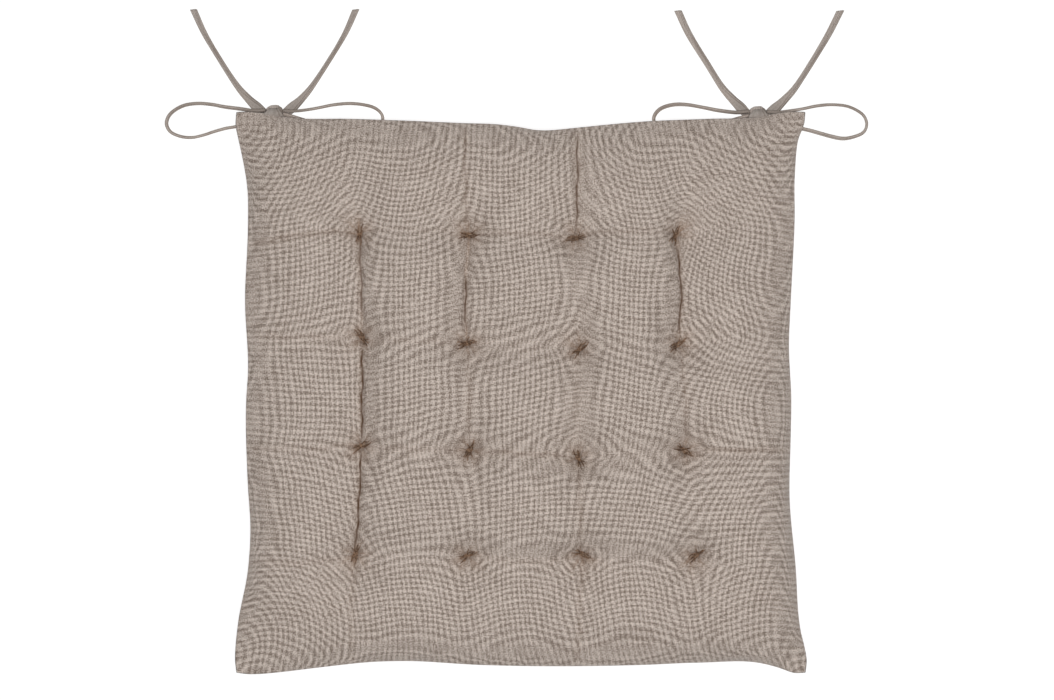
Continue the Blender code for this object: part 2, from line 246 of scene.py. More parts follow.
RIGHT_OUTER_TAIL = (
    (0.0133, 0.0033), (0.0192, 0.0090), (0.0266, 0.0174), (0.0367, 0.0328),
    (0.0493, 0.0538), (0.0580, 0.0710),
)

# Which way the stitch of each tuft lies, in degrees, rows from back to front
TUFT_SLANTS = (
    (80, -8, 5, 60),
    (-60, 10, 40, 25),
    (20, 60, -75, -35),
    (70, 25, -30, 35),
)

CORNER_LOW, CORNER_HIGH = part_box("cover_top")
HALF_X = CORNER_HIGH[0]
HALF_Y = CORNER_HIGH[1]
SEAM_CORNER = CORNER_LOW[2]
SEAM_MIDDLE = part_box("cover_bottom")[1][2]
KNOT_PLACES = [
    ((low[0] + high[0]) / 2, (low[1] + high[1]) / 2)
    for low, high in (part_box("bow_knot_left"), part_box("bow_knot_right"))
]

# How far each edge is drawn in from the corner tips: (place along the edge, inset)
LEFT_INSET = (
    (-0.197, 0.0), (-0.180, 0.0004), (-0.160, 0.0026), (-0.125, 0.0094), (-0.097, 0.0114),
    (-0.061, 0.0096), (0.000, 0.0090), (0.011, 0.0098), (0.065, 0.0078), (0.116, 0.0096),
    (0.143, 0.0090), (0.169, 0.0044), (0.188, 0.0004), (0.197, 0.0),
)
RIGHT_INSET = (
    (-0.197, 0.0), (-0.184, 0.0006), (-0.168, 0.0044), (-0.120, 0.0086), (-0.075, 0.0128),
    (-0.030, 0.0122), (-0.006, 0.0118), (0.033, 0.0134), (0.065, 0.0120), (0.120, 0.0092),
    (0.156, 0.0086), (0.179, 0.0056), (0.190, 0.0012), (0.197, 0.0),
)
FRONT_INSET = (
    (-0.200, 0.0), (-0.183, 0.0002), (-0.165, 0.0020), (-0.140, 0.0052), (-0.100, 0.0094),
    (-0.080, 0.0099), (-0.030, 0.0074), (0.085, 0.0072), (0.125, 0.0086), (0.170, 0.0074),
    (0.182, 0.0040), (0.193, 0.0004), (0.200, 0.0),
)
BACK_INSET = (
    (-0.200, 0.0), (-0.180, 0.0018), (-0.160, 0.0052), (-0.120, 0.0062), (-0.085, 0.0074),
    (-0.040, 0.0094), (-0.015, 0.0104), (0.000, 0.0124), (0.013, 0.0145), (0.027, 0.0138),
    (0.041, 0.0124), (0.069, 0.0096), (0.083, 0.0084), (0.130, 0.0062), (0.165, 0.0046),
    (0.182, 0.0014), (0.200, 0.0),
)

# Valleys that the cloth folds into, from one tuft (row, column) to the next along a row or a
# column: (start, end, how deep it is drawn from 0 to 1, sideways bow). Row 0 and column 0 are the
# back and the left seam, row 5 and column 5 the front and the right one. The valley that starts
# at SLANTED_START meets the seam SLANT further back or forward.
SLANTED_START = (1, 0)
SLANT = -0.0150
VALLEYS = (
    ((1, 1), (2, 1), 0.74, 0.0006), ((2, 1), (3, 1), 0.95, 0.0004),
    ((3, 1), (4, 1), 0.90, 0.0008), ((4, 1), (5, 1), 0.30, 0.0),
    ((0, 2), (1, 2), 0.45, 0.0004), ((1, 2), (2, 2), 0.85, -0.0012),
    ((2, 2), (3, 2), 0.35, 0.0008), ((0, 3), (1, 3), 0.78, 0.0006),
    ((2, 3), (3, 3), 0.20, 0.0), ((3, 3), (4, 3), 0.40, 0.0044),
    ((4, 3), (5, 3), 0.35, -0.0020), ((1, 4), (2, 4), 0.85, 0.0030),
    ((2, 4), (3, 4), 0.40, 0.0012), ((1, 0), (1, 1), 0.50, 0.0020),
    ((1, 1), (1, 2), 0.22, 0.0), ((1, 2), (1, 3), 0.38, 0.0004),
    ((1, 3), (1, 4), 0.26, -0.0004), ((2, 0), (2, 1), 0.30, 0.0),
    ((2, 1), (2, 2), 0.22, 0.0), ((3, 0), (3, 1), 0.26, 0.0),
    ((3, 1), (3, 2), 0.24, 0.0), ((3, 2), (3, 3), 0.42, -0.0010),
    ((3, 4), (3, 5), 0.42, 0.0010), ((4, 0), (4, 1), 0.24, 0.0),
    ((4, 2), (4, 3), 0.24, 0.0),
)

# Where along a valley its groove gets painted shade, when that isn't all the way
GROOVE_SHADE_PARTS = {
    ((1, 1), (2, 1)): (0.00, 0.85), ((1, 2), (2, 2)): (0.32, 0.90), ((1, 4), (2, 4)): (0.05, 0.95),
}


# ---- helpers ----

def link(name, data):
    made = bpy.data.objects.new(name, data)
    bpy.context.scene.collection.objects.link(made)
    return made


def make_piece(name, points, faces, material):
    mesh = bpy.data.meshes.new(name)
    mesh.from_pydata([tuple(point) for point in points], [], faces)
    mesh.shade_smooth()
    mesh.materials.append(material)
    return link(name, mesh)


def store(piece, name, values):
    """Keeps a number or a vector for each point of a piece, for its material."""
    values = np.asarray(values, np.float32).ravel()
    vector = len(values) > len(piece.data.vertices)
    made = piece.data.attributes.new(name, "FLOAT_VECTOR" if vector else "FLOAT", "POINT")
    made.data.foreach_set("vector" if vector else "value", values)


def tube_faces(rings, sides, flip=False):
    """Faces of a tube closed at both ends, whose points lie ring after ring."""
    faces = []
    for k in range(rings - 1):
        for s in range(sides):
            here, after = k * sides + s, k * sides + (s + 1) % sides
            beside, ahead = (here + sides, after) if flip else (after, here + sides)
            faces.append((here, beside, after + sides, ahead))
    start = list(range(sides))
    end = [(rings - 1) * sides + s for s in start]
    return faces + [start if flip else start[::-1], end[::-1] if flip else end]


def smooth_step(low, high, value):
    t = np.clip((value - low) / (high - low), 0.0, 1.0)
    return t * t * (3.0 - 2.0 * t)


def bell(value, width):
    return np.exp(-((value / width) ** 2))


def within(first, last, ramp, share):
    """1 between first and last, with a smooth ramp just inside each of them."""
    return smooth_step(first, first + ramp, share) * (1.0 - smooth_step(last - ramp, last, share))


def directions(points):
    """Unit vectors along a line of points."""
    ahead = np.gradient(points, axis=0)
    return ahead / np.linalg.norm(ahead, axis=1)[:, None]


class Nodes:
    """Builds a node material with short calls."""

    def __init__(self, name):
        self.material = bpy.data.materials.new(name)
        self.material.use_nodes = True
        self.tree = self.material.node_tree
        self.shader = self.tree.nodes["Principled BSDF"]

    def add(self, kind, inputs=(), **settings):
        node = self.tree.nodes.new(kind)
        for key, value in settings.items():
            setattr(node, key, value)
        for key, value in dict(inputs).items():
            self.put(node.inputs[key], value)
        return node

    def put(self, socket, value):
        if isinstance(value, bpy.types.NodeSocket):
            self.tree.links.new(value, socket)
        else:
            socket.default_value = value

    def math(self, operation, a, b=0.0, c=0.0):
        node = self.add("ShaderNodeMath", {0: a, 1: b, 2: c}, operation=operation)
        return node.outputs[0]

    def mix(self, factor, a, b):
        node = self.add("ShaderNodeMix", data_type="RGBA")
        self.put(node.inputs["Factor"], factor)
        self.put(node.inputs["A"], a)
        self.put(node.inputs["B"], b)
        return node.outputs["Result"]

    def ramp(self, value, low, high):
        """0 below low and 1 above high, smooth in between."""
        node = self.add("ShaderNodeMapRange", {0: value, 1: low, 2: high},
                        interpolation_type="SMOOTHSTEP")
        return node.outputs[0]

    def noise(self, vector, scale, detail):
        node = self.add("ShaderNodeTexNoise", {"Vector": vector, "Scale": scale, "Detail": detail})
        return node.outputs["Fac"]

    def swing(self, vector, scale, detail, strength):
        """Noise about 0."""
        return self.math(
            "MULTIPLY_ADD", self.noise(vector, scale, detail), strength, -strength / 2)

    def stretched(self, along, across, scales, z=0.0):
        """A place in the flat pattern, scaled differently along and across a thread."""
        x, y = self.math("MULTIPLY", along, scales[0]), self.math("MULTIPLY", across, scales[1])
        return self.add("ShaderNodeCombineXYZ", {0: x, 1: y, 2: z}).outputs[0]

    def split(self, vector):
        return self.add("ShaderNodeSeparateXYZ", {0: vector}).outputs

    def attribute(self, name, output="Vector"):
        return self.add("ShaderNodeAttribute", attribute_name=name).outputs[output]

    def plain_weave(self, parts):
        """Height of a plain weave, whose threads pass over and under each other by turns."""
        height = 1.0
        for part in parts[:2]:
            turn = self.math("MULTIPLY", part, math.tau / THREAD_SPACING)
            height = self.math("MULTIPLY", height, self.math("COSINE", turn))
        return height

    def cloth(self, colour, roughness, height, bump_strength, bump_depth):
        """Finishes the material."""
        self.put(self.shader.inputs["Base Color"], colour)
        self.put(self.shader.inputs["Roughness"], roughness)
        bump = self.add("ShaderNodeBump", {
            "Height": height, "Strength": bump_strength, "Distance": bump_depth})
        self.put(self.shader.inputs["Normal"], bump.outputs[0])
        return self.material


# ---- stage ----

def make_camera():
    camera = bpy.data.cameras.new("camera")
    camera.sensor_width = SENSOR * 1000
    camera.lens = SENSOR * 1000 * VIEW_HEIGHT / VIEW_WIDTH
    made = link("camera", camera)
    made.location = (*VIEW_CENTRE, VIEW_HEIGHT + SEAM_CORNER)
    bpy.context.scene.camera = made


def make_lamp():
    lamp = bpy.data.lights.new("overhead", "AREA")
    lamp.shape = "DISK"
    lamp.size = LAMP_SIZE
    lamp.energy = LAMP_ENERGY
    made = link("overhead", lamp)
    made.location = LAMP_PLACE
    made.rotation_euler = (-Vector(LAMP_PLACE)).to_track_quat("-Z", "Y").to_euler()


def make_stage():
    floor_mesh = bpy.data.meshes.new("floor")
    bm = bmesh.new()
    bmesh.ops.create_circle(bm, cap_ends=True, segments=64, radius=FLOOR_RADIUS)
    bm.to_mesh(floor_mesh)
    bm.free()
    floor = link("floor", floor_mesh)
    paint = Nodes("floor_paper")
    paint.put(paint.shader.inputs["Base Color"], FLOOR_PAPER)
    paint.put(paint.shader.inputs["Roughness"], 0.95)
    paint.put(paint.shader.inputs["Emission Color"], WHITE)
    paint.put(paint.shader.inputs["Emission Strength"], FLOOR_GLOW)
    floor_mesh.materials.append(paint.material)
    world = bpy.data.worlds.new("studio")
    bpy.context.scene.world = world
    world.use_nodes = True
    background = world.node_tree.nodes["Background"]
    background.inputs["Color"].default_value = WHITE
    background.inputs["Strength"].default_value = SKY_STRENGTH
    make_lamp()
    bpy.context.scene.view_settings.view_transform = "Standard"


# ---- cover: flat pattern and first shape ----

def tuft_places():
    """{(row, column): (flat x, flat y, x, y)}, row 1 at the back."""
    middle = (TUFT_ROWS + 1) / 2
    found = {}
    for row in range(1, TUFT_ROWS + 1):
        for column in range(1, TUFT_ROWS + 1):
            low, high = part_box(f"tuft_stitch_r{row}_c{column}")
            found[row, column] = (
                (column - middle) * FLAT_PITCH, (middle - row) * FLAT_PITCH,
                (low[0] + high[0]) / 2, (low[1] + high[1]) / 2)
    return found


TUFTS = tuft_places()


def even_lines(half, per_cell):
    """Evenly spaced lines across a flat panel, with one through each tuft."""
    last = (TUFT_ROWS - 1) / 2 * FLAT_PITCH
    cells = TUFT_ROWS - 1
    inner = [-last + FLAT_PITCH * k / per_cell for k in range(cells * per_cell + 1)]
    steps = round((half - last) / FLAT_PITCH * per_cell)
    outer = [last + (half - last) * k / steps for k in range(1, steps + 1)]
    return np.array([-place for place in reversed(outer)] + inner + outer)


def fine_lines(half):
    """Lines for the finished mesh, close together at the tufts and at the seam."""
    middle = (TUFT_ROWS - 1) / 2
    first, second, third = SEAM_LINES
    lines = [-half, -half + first, -half + second, half - second, half - first, half]
    stops = [-half + third]
    for i in range(TUFT_ROWS):
        tuft = (i - middle) * FLAT_PITCH
        lines += [tuft + TUFT_ZONE * k / TUFT_STEPS for k in range(1 - TUFT_STEPS, TUFT_STEPS)]
        stops += [tuft - TUFT_ZONE, tuft + TUFT_ZONE]
    stops.append(half - third)
    for start, end in zip(stops[::2], stops[1::2]):
        steps = round((end - start) / OPEN_STEP)
        lines += [start + (end - start) * k / steps for k in range(steps + 1)]
    return np.array(sorted(set(lines)))


def inset_curve(points, along):
    """A smooth curve through (place, inset) points, at the places along."""
    places = np.array([p for p, _ in points])
    insets = np.array([i for _, i in points])
    return carried(insets[:, None, None], places, along.ravel()).reshape(along.shape)


def carried(values, lines, finer):
    """Values on lines, the first axis, carried over to finer lines by a smooth curve."""
    slopes = np.gradient(values, lines, axis=0)
    k = np.clip(np.searchsorted(lines, finer, side="right") - 1, 0, len(lines) - 2)
    gap = (lines[k + 1] - lines[k])[:, None, None]
    t = np.clip((finer - lines[k]) / (lines[k + 1] - lines[k]), 0.0, 1.0)[:, None, None]
    return (
        values[k] * (1 + 2 * t) * (1 - t) ** 2 + slopes[k] * gap * t * (1 - t) ** 2
        + values[k + 1] * t * t * (3 - 2 * t) + slopes[k + 1] * gap * t * t * (t - 1)
    )


def round_corners(x, y):
    """Points of the flat panel with its corners bent round."""
    half_x, half_y, radius = PANEL_HALF_X, PANEL_HALF_Y, CORNER_RADIUS
    a = np.clip((np.abs(x) - half_x + radius) / radius, 0.0, 1.0)
    b = np.clip((np.abs(y) - half_y + radius) / radius, 0.0, 1.0)
    less_x = radius * a * (1.0 - np.sqrt(1.0 - b * b / 2.0))
    less_y = radius * b * (1.0 - np.sqrt(1.0 - a * a / 2.0))
    return x - np.sign(x) * less_x, y - np.sign(y) * less_y


def outline_place(flat_x, flat_y):
    """Where a flat point lies in plan, from the outline alone.

    The outline's own swerves die away inwards, to an even inset of CALM_INSET.
    """
    flat_x, flat_y = round_corners(flat_x, flat_y)
    u = flat_x / PANEL_HALF_X
    v = flat_y / PANEL_HALF_Y
    left, right = (inset_curve(curve, v * HALF_Y) for curve in (LEFT_INSET, RIGHT_INSET))
    front, back = (inset_curve(curve, u * HALF_X) for curve in (FRONT_INSET, BACK_INSET))
    side = np.where(u > 0, right, left)
    end = np.where(v > 0, back, front)
    calm_side = CALM_INSET * (1.0 - np.abs(v) ** 3)
    calm_end = CALM_INSET * (1.0 - np.abs(u) ** 3)
    side = calm_side + (side - calm_side) * np.abs(u) ** 4
    end = calm_end + (end - calm_end) * np.abs(v) ** 4
    return u * (HALF_X - side), v * (HALF_Y - end)


def plan_place(flat_x, flat_y):
    """The same, drawn to where the tufts are."""
    x, y = outline_place(flat_x, flat_y)
    shift_x = np.zeros_like(x)
    shift_y = np.zeros_like(y)
    for tuft_flat_x, tuft_flat_y, tuft_x, tuft_y in TUFTS.values():
        even_x, even_y = outline_place(np.array([tuft_flat_x]), np.array([tuft_flat_y]))
        away = np.hypot(flat_x - tuft_flat_x, flat_y - tuft_flat_y)
        follow = bell(away, TUFT_DRAW)
        shift_x += follow * (tuft_x - even_x[0])
        shift_y += follow * (tuft_y - even_y[0])
    return x + shift_x, y + shift_y


def seam_level(flat_x, flat_y):
    """Height of the seam, which droops towards the corners."""
    droop = SEAM_MIDDLE - SEAM_CORNER
    return SEAM_MIDDLE - droop * (flat_x / PANEL_HALF_X * flat_y / PANEL_HALF_Y) ** 2


def first_shape(lines_x, lines_y, way):
    """A panel's points before the simulation: way is 1 for the top and -1 for the bottom."""
    flat_x, flat_y = np.meshgrid(lines_x, lines_y)
    x, y = plan_place(flat_x, flat_y)
    u = flat_x / PANEL_HALF_X
    v = flat_y / PANEL_HALF_Y
    rise = np.sqrt((1 - u ** 4) * (1 - v ** 4))
    for tuft_flat_x, tuft_flat_y, _, _ in TUFTS.values():
        away = np.hypot(flat_x - tuft_flat_x, flat_y - tuft_flat_y)
        rise = rise * (1.0 - FIRST_DIMPLE_DEPTH * bell(away, FIRST_DIMPLE_REACH))
    z = np.maximum(seam_level(flat_x, flat_y) + way * FIRST_RISE * rise, FLOOR_CLEARANCE)
    return np.stack([x, y, z], -1)


def line_at(lines, value):
    return int(np.argmin(np.abs(lines - value)))


def hold(points, lines_x, lines_y, way):
    """Puts the seam, tufts and valleys in place, and returns which points the simulation holds."""
    held = np.zeros(points.shape[:2], bool)
    held[0] = held[-1] = True
    held[:, 0] = held[:, -1] = True
    level = TOP_TUFT_CLOTH if way > 0 else BOTTOM_TUFT_CLOTH
    for flat_x, flat_y, x, y in TUFTS.values():
        j, i = line_at(lines_y, flat_y), line_at(lines_x, flat_x)
        points[j, i] = (x, y, level)
        held[j, i] = True
    if way > 0:
        for start, end, depth, bow in VALLEYS:
            if depth >= HELD_DEPTH:
                hold_valley(points, held, lines_x, lines_y, start, end, depth, bow)
    return held


def stop_place(row, column, other):
    """Flat place and place in the frame of a valley's end, a tuft or a point of the seam."""
    if (row, column) in TUFTS:
        flat_x, flat_y, x, y = TUFTS[row, column]
        return np.array([flat_x, flat_y]), np.array([x, y, TOP_TUFT_CLOTH])
    flat_x, flat_y, _, _ = TUFTS[other]
    if column in (0, TUFT_ROWS + 1):
        flat_x = PANEL_HALF_X if column else -PANEL_HALF_X
    else:
        flat_y = -PANEL_HALF_Y if row else PANEL_HALF_Y
    if (row, column) == SLANTED_START:
        flat_y += SLANT
    x, y = outline_place(np.array([flat_x]), np.array([flat_y]))
    return np.array([flat_x, flat_y]), np.array([x[0], y[0], SEAM_MIDDLE])


def valley_ends(start, end):
    return stop_place(*start, end), stop_place(*end, start)


def hold_valley(points, held, lines_x, lines_y, start, end, depth, bow):
    """Holds the cloth down along one valley, between but not at its ends."""
    (flat_start, place_start), (flat_end, place_end) = valley_ends(start, end)
    upright = start[1] == end[1]
    lines = lines_y if upright else lines_x
    axis = 1 if upright else 0
    for k, flat in enumerate(lines):
        share = (flat - flat_start[axis]) / (flat_end[axis] - flat_start[axis])
        if HELD_PART[0] < share < HELD_PART[1]:
            arch = math.sin(math.pi * share)
            place = place_start + (place_end - place_start) * share
            place[1 - axis] += bow * arch
            place[2] += (VALLEY_RISE - VALLEY_SINK * depth) * arch ** 0.6
            at = (k, line_at(lines_x, flat_start[0])) if upright else (
                line_at(lines_y, flat_start[1]), k)
            points[at] = place
            held[at] = True


# ---- cover: simulation ----

def grid_normals(points):
    normal = np.cross(np.gradient(points, axis=1), np.gradient(points, axis=0))
    return normal / (np.linalg.norm(normal, axis=-1)[..., None] + 1e-12)


def link_families(flat):
    """Sets of threads that share no point, each with its flat lengths and its strength."""
    rows, columns = flat.shape[:2]
    families = []
    for odd in (0, 1):
        across = 2 * ((columns - odd) // 2)
        down = 2 * ((rows - odd) // 2)
        near_x = slice(odd, odd + across - 1, 2)
        far_x = slice(odd + 1, odd + across, 2)
        near_y = slice(odd, odd + down - 1, 2)
        far_y = slice(odd + 1, odd + down, 2)
        everything = slice(None)
        families.append(((everything, near_x), (everything, far_x), 1.0))
        families.append(((near_y, everything), (far_y, everything), 1.0))
        families.append(((slice(0, rows - 1), near_x), (slice(1, rows), far_x), SHEAR_SHARE))
        families.append(((slice(1, rows), near_x), (slice(0, rows - 1), far_x), SHEAR_SHARE))
    return [(a, b, np.linalg.norm(flat[b] - flat[a], axis=-1), pull) for a, b, pull in families]


def relax(points, lines_x, lines_y, way, steps):
    """Blows the panel up: its threads resist being stretched much more than being squeezed."""
    held = hold(points, lines_x, lines_y, way)
    fixed = points[held].copy()
    flat = np.stack(round_corners(*np.meshgrid(lines_x, lines_y)), -1)
    families = link_families(flat)
    spacing = lines_x[1] - lines_x[0]
    before = points.copy()
    for _ in range(steps):
        normal = grid_normals(points)
        drift = (points - before) * DRAG
        before = points.copy()
        points = points + drift + normal * (way * PUSH * spacing)
        for near, far, length, pull in families:
            line = points[far] - points[near]
            now = np.linalg.norm(line, axis=-1)
            over = (now - length) / now
            over = np.where(over < 0.0, over * SQUEEZE, over) * 0.5 * pull
            points[near] += line * over[..., None]
            points[far] -= line * over[..., None]
            points[held] = fixed
        smoother = points.copy()
        smoother[:, 1:-1] += STIFFNESS * (points[:, :-2] + points[:, 2:] - 2 * points[:, 1:-1])
        smoother[1:-1] += STIFFNESS * (points[:-2] + points[2:] - 2 * points[1:-1])
        smoother[held] = fixed
        points = smoother
        points[..., 2] = np.maximum(points[..., 2], FLOOR_CLEARANCE)
    return points


def blown_panel(way):
    """Finished lines and points of one panel, simulated on a coarse and then on a finer grid."""
    lines_x = even_lines(PANEL_HALF_X, 8)
    lines_y = even_lines(PANEL_HALF_Y, 8)
    points = first_shape(lines_x, lines_y, way)
    for per_cell, steps in SIM_ROUNDS:
        finer_x = even_lines(PANEL_HALF_X, per_cell)
        finer_y = even_lines(PANEL_HALF_Y, per_cell)
        points = on_lines(points, lines_x, lines_y, finer_x, finer_y)
        lines_x, lines_y = finer_x, finer_y
        points = relax(points, lines_x, lines_y, way, steps)
    finer_x = fine_lines(PANEL_HALF_X)
    finer_y = fine_lines(PANEL_HALF_Y)
    points = on_lines(points, lines_x, lines_y, finer_x, finer_y)
    points[..., 2] = np.maximum(points[..., 2], FLOOR_CLEARANCE)
    return finer_x, finer_y, points


def on_lines(points, lines_x, lines_y, finer_x, finer_y):
    rows = carried(points, lines_y, finer_y)
    return carried(rows.swapaxes(0, 1), lines_x, finer_x).swapaxes(0, 1)


# ---- cover: small folds ----

def wander(x, y, scale, seed):
    """Smooth noise over the grid, about -1 to 1."""
    values = [
        noise.noise(Vector((a * scale, b * scale, seed))) for a, b in zip(x.ravel(), y.ravel())
    ]
    return np.array(values).reshape(x.shape)


def tuft_folds(flat_x, flat_y):
    """(lift, shade): small folds that run into each tuft, and the painted shade of the cloth
    there.
    """
    lift = np.zeros_like(flat_x)
    shade = np.zeros_like(flat_x)
    for (row, column), (tuft_x, tuft_y, _, _) in TUFTS.items():
        turn = math.radians(TUFT_SLANTS[row - 1][column - 1])
        dx, dy = flat_x - tuft_x, flat_y - tuft_y
        along = dx * math.cos(turn) + dy * math.sin(turn)
        across = dy * math.cos(turn) - dx * math.sin(turn)
        away = np.hypot(along, across)
        angle = np.arctan2(across, along)
        phase = 1.7 * row + 2.9 * column
        folds = np.sin(6 * angle + phase + 0.9 * np.sin(2 * angle + phase))
        folds = folds + 0.6 * np.sin(13 * angle - 2.0 * phase)
        reach = smooth_step(*PUCKER_START, away) * bell(away, PUCKER_REACH)
        pinch = bell(along, PINCH_LENGTH) * bell(across, PINCH_WIDTH)
        lift += PUCKER_HEIGHT * folds * reach - PINCH_DEPTH * pinch
        # Painted shade: a halo round the dimple, less on the puckers' crests, and more in the
        # pinch
        shade += 0.50 * bell(away, HALO_REACH) * (1.0 - 0.5 * folds) + 0.70 * pinch
    return lift, np.clip(shade, 0.0, 1.0)


def thread_crowding(lines_x, lines_y, points):
    """How clearly the weave's coarse lines show, across and down.

    They fade where they would be very wide or very fine, and behind the knots.
    """
    found = []
    for axis, lines in ((0, lines_x), (1, lines_y)):
        flat = np.broadcast_to(lines if axis == 0 else lines[:, None], points.shape[:2])
        beat = points[..., axis] / WEAVE_BEAT - flat / THREAD_SPACING
        over_x = np.gradient(points[..., 0], axis=1)
        over_y = np.gradient(points[..., 1], axis=0)
        steep = np.hypot(
            np.gradient(beat, axis=1) / np.maximum(over_x, 0.0002),
            np.gradient(beat, axis=0) / np.maximum(over_y, 0.0002))
        faded = 0.85 * smooth_step(*BEAT_FADES, steep)
        found.append(smooth_step(*BEAT_SHOWS, steep) * (1.0 - faded))
    across, down = found
    gathered = sum(
        bell(points[..., 0] - x, KNOT_GATHER[0]) * bell(points[..., 1] - y, KNOT_GATHER[1])
        for x, y in KNOT_PLACES)
    across, down = across * (1.0 - 0.75 * gathered), down * (1.0 - 0.75 * gathered)
    both = np.sqrt(across * down)
    return 0.10 + 0.90 * np.stack([
        across * (0.45 + 0.55 * both), down * (0.45 + 0.55 * both), np.zeros_like(both)], -1)


def valley_folds(flat_x, flat_y):
    """The sharp groove along the floor of each valley.

    Returns its lift, how much painted shade the cloth beside it gets, each point's signed
    distance across the nearest groove and how much painted shade that groove's line gets there.
    """
    lift = np.zeros_like(flat_x)
    crease_shade = np.zeros_like(flat_x)
    nearest = np.full_like(flat_x, 1.0)
    dark = np.zeros_like(flat_x)
    for number, (start, end, depth, _) in enumerate(VALLEYS):
        (flat_start, _), (flat_end, _) = valley_ends(start, end)
        line = flat_end - flat_start
        length = math.hypot(*line)
        from_x, from_y = flat_x - flat_start[0], flat_y - flat_start[1]
        share = (from_x * line[0] + from_y * line[1]) / length ** 2
        swerve = 0.0004 * np.sin(share * 17 + number) + 0.0002 * np.sin(share * 41 + 2 * number)
        across = (from_y * line[0] - from_x * line[1]) / length - swerve
        away = np.abs(across)
        inside = within(0.0, 1.0, 0.12, share)
        strong = smooth_step(0.15, 0.75, depth)
        lift -= (GROOVE_DEPTH + GROOVE_DEEPER * strong) * bell(away, GROOVE_WIDTH) * inside
        # Painted shade beside the groove, more for deeper valleys
        crease_shade = np.maximum(crease_shade, 0.32 * depth * bell(away, CREASE_SHADE_WIDTH) * inside)
        first, last = GROOVE_SHADE_PARTS.get((start, end), (0.0, 1.0))
        seen = within(first, last, 0.15, share)
        closer = (away < np.abs(nearest)) & (share > -0.1) & (share < 1.1)
        nearest = np.where(closer, across, nearest)
        # How much painted shade the nearest groove's line gets
        uneven = 0.88 + 0.12 * np.sin(share * 34 + number)
        dark = np.where(closer, min(1.0, 1.15 * depth) ** 1.8 * uneven * seen, dark)
    return lift, crease_shade, nearest, dark


def seam_folds(flat_x, flat_y):
    """Lift of the small gathers along the edge seam."""
    from_side = PANEL_HALF_X - np.abs(flat_x)
    from_end = PANEL_HALF_Y - np.abs(flat_y)
    along = np.where(from_side < from_end, flat_y, flat_x)
    away = np.minimum(from_side, from_end)
    ripple = np.sin(along * 410 + 2.0 * np.sin(along * 63)) + 0.7 * np.sin(along * 233)
    return GATHER_HEIGHT * ripple * smooth_step(0.0, 0.002, away) * np.exp(-away / GATHER_REACH)


def dressed(lines_x, lines_y, points, way):
    """The panel's points with their small folds, the painted shade round its tufts, and its
    valleys' grooves with their painted shade.
    """
    flat_x, flat_y = np.meshgrid(lines_x, lines_y)
    lift, tuft_shade = tuft_folds(flat_x, flat_y)
    across, dark = np.ones_like(lift), np.zeros_like(lift)
    if way > 0:
        deeper, crease_shade, across, dark = valley_folds(flat_x, flat_y)
        lift += deeper
        # The painted shade beside the valleys joins the painted shade round the tufts
        tuft_shade = np.maximum(tuft_shade, crease_shade)
    off_seam = smooth_step(0.0, SLACK_EDGE, np.minimum(
        PANEL_HALF_X - np.abs(flat_x), PANEL_HALF_Y - np.abs(flat_y)))
    broad, fine = SLACK_SCALES
    slack = wander(flat_x, flat_y, broad, way) + 0.4 * wander(flat_x, flat_y, fine, 5.0 + way)
    lift += SLACK_LIFT * slack * off_seam + seam_folds(flat_x, flat_y)
    on_floor = 1.0 if way > 0 else smooth_step(0.0004, 0.0030, points[..., 2])
    points = points + grid_normals(points) * (way * lift * on_floor)[..., None]
    points[..., 2] = np.maximum(points[..., 2], FLOOR_CLEARANCE)
    return points, tuft_shade, across, dark


def make_cover():
    """Both panels as one closed piece, which share the points of the seam."""
    lines_x, lines_y, top = blown_panel(1)
    _, _, bottom = blown_panel(-1)
    top, top_tufts, across, dark = dressed(lines_x, lines_y, top, 1)
    bottom, bottom_tufts, _, _ = dressed(lines_x, lines_y, bottom, -1)
    inner = np.zeros(top.shape[:2], bool)
    inner[1:-1, 1:-1] = True
    top_index = np.arange(inner.size).reshape(inner.shape)
    bottom_index = top_index.copy()
    bottom_index[inner] = inner.size + np.arange(inner.sum())
    faces = []
    for index in (top_index, bottom_index[:, ::-1]):
        quads = [index[:-1, :-1], index[:-1, 1:], index[1:, 1:], index[1:, :-1]]
        faces.append(np.stack(quads, -1).reshape(-1, 4))
    points = np.concatenate([top.reshape(-1, 3), bottom[inner]])
    faces = np.concatenate(faces).tolist()
    cover = make_piece("cushion_cover", points.tolist(), faces, weave_material())
    flat_x, flat_y = round_corners(*np.meshgrid(lines_x, lines_y))
    flat = np.stack([flat_x, flat_y, np.zeros_like(flat_x)], -1)
    clear_top = thread_crowding(lines_x, lines_y, top)
    clear_bottom = thread_crowding(lines_x, lines_y, bottom)
    for name, above, below in (
        ("flat", flat, flat),
        ("clear", clear_top, clear_bottom),
        ("tuft_shade", top_tufts, bottom_tufts),
        ("groove_across", across, np.ones_like(across)),
        ("groove_painted_shade", dark, np.zeros_like(dark)),
    ):
        store(cover, name, np.concatenate([above.ravel(), below[inner].ravel()]))
    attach(cover, "root")
    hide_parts("cover_top", "cover_bottom", "filling")


# ---- cover: weave ----

